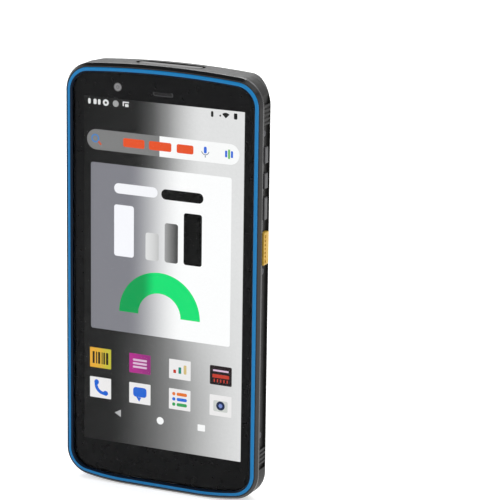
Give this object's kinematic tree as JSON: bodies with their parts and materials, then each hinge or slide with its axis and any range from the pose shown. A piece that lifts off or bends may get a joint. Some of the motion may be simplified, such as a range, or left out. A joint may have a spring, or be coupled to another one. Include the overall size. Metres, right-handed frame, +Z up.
{
  "type": "handheld data terminal",
  "caption": "Rugged handheld data terminal with a raised coloured ring round its display, side keys, a hinged card door, rear cameras and a scan window in its top face",
  "frame": {"origin": "middle of the footprint, on the flat foot under the device", "axes": "+Z up along the device, -Y out of the display, +X to the device's right hand side as its user sees it"},
  "size_m": [0.0832, 0.0156, 0.167],
  "materials": {
    "housing": "fine moulded texture",
    "front_housing": "satin black",
    "blue_trim": "satin coloured plastic",
    "label": "smooth film",
    "screen_glass": "polished",
    "display": "lit panel",
    "seal": "moulded silicone",
    "chassis": "die cast",
    "circuit_board": "solder mask",
    "sheet_metal": "rolled",
    "battery_wrap": "wrapped film",
    "flex_film": "polyimide film",
    "dark_window": "polished dark tint",
    "module_black": "moulded",
    "bright_ring": "turned and polished",
    "flash_lens": "moulded lens",
    "screw_steel": "dark plated",
    "eyelet_blue": "moulded",
    "door_plastic": "moulded",
    "key_plastic": "moulded",
    "amber_plastic": "moulded"
  },
  "bodies": {
    "base": {"back_cover": "housing", "rear_inlay": "blue_trim", "label_plate": "label", "front_frame": "front_housing", "front_ring": "blue_trim", "cover_glass": "screen_glass", "display_panel": "display", "housing_gasket": "seal", "mid_chassis": "chassis", "main_board": "circuit_board", "lower_board": "circuit_board", "shield_can_right": "sheet_metal", "shield_can_left": "sheet_metal", "battery_pack": "battery_wrap", "board_flex": "flex_film", "scan_window": "dark_window", "scan_engine": "module_black", "rear_camera_window": "dark_window", "lens_ring_right": "bright_ring", "lens_ring_left": "bright_ring", "camera_module_right": "module_black", "camera_module_left": "module_black", "flash_led": "flash_lens", "front_camera": "module_black", "earpiece_mesh": "sheet_metal", "earpiece_receiver": "module_black", "side_screws": "screw_steel", "lanyard_eyelet": "eyelet_blue", "usb_socket": "sheet_metal", "loudspeaker": "module_black", "vibration_motor": "sheet_metal", "card_reader": "sheet_metal", "card_tray": "module_black", "upper_hinge_pin": "screw_steel", "lower_hinge_pin": "screw_steel", "key_flex_right": "flex_film", "key_flex_left": "flex_film"},
    "card_door": {"card_door": "door_plastic", "door_seal": "seal"},
    "volume_up_key": {"volume_up_key": "key_plastic"},
    "volume_down_key": {"volume_down_key": "key_plastic"},
    "power_key": {"power_key": "key_plastic"},
    "scan_key_right": {"scan_key_right": "amber_plastic"},
    "scan_key_left": {"scan_key_left": "amber_plastic"}
  },
  "joints": [
    {"name": "card_door_hinge", "type": "hinge", "parent": "base", "child": "card_door", "pos_m": [-0.04, -0.0039, 0.1281], "axis": [0, 0, 1], "range_deg": [0, 90]},
    {"name": "volume_up_press", "type": "slide", "parent": "base", "child": "volume_up_key", "axis": [-1, 0, 0], "range_m": [0, 0.0004], "stiffness_N_per_m": 2000},
    {"name": "volume_down_press", "type": "slide", "parent": "base", "child": "volume_down_key", "axis": [-1, 0, 0], "range_m": [0, 0.0004], "stiffness_N_per_m": 2000},
    {"name": "power_press", "type": "slide", "parent": "base", "child": "power_key", "axis": [-1, 0, 0], "range_m": [0, 0.0004], "stiffness_N_per_m": 2000},
    {"name": "right_scan_press", "type": "slide", "parent": "base", "child": "scan_key_right", "axis": [-1, 0, 0], "range_m": [0, 0.0004], "stiffness_N_per_m": 2000},
    {"name": "left_scan_press", "type": "slide", "parent": "base", "child": "scan_key_left", "axis": [1, 0, 0], "range_m": [0, 0.0004], "stiffness_N_per_m": 2000}
  ]
}
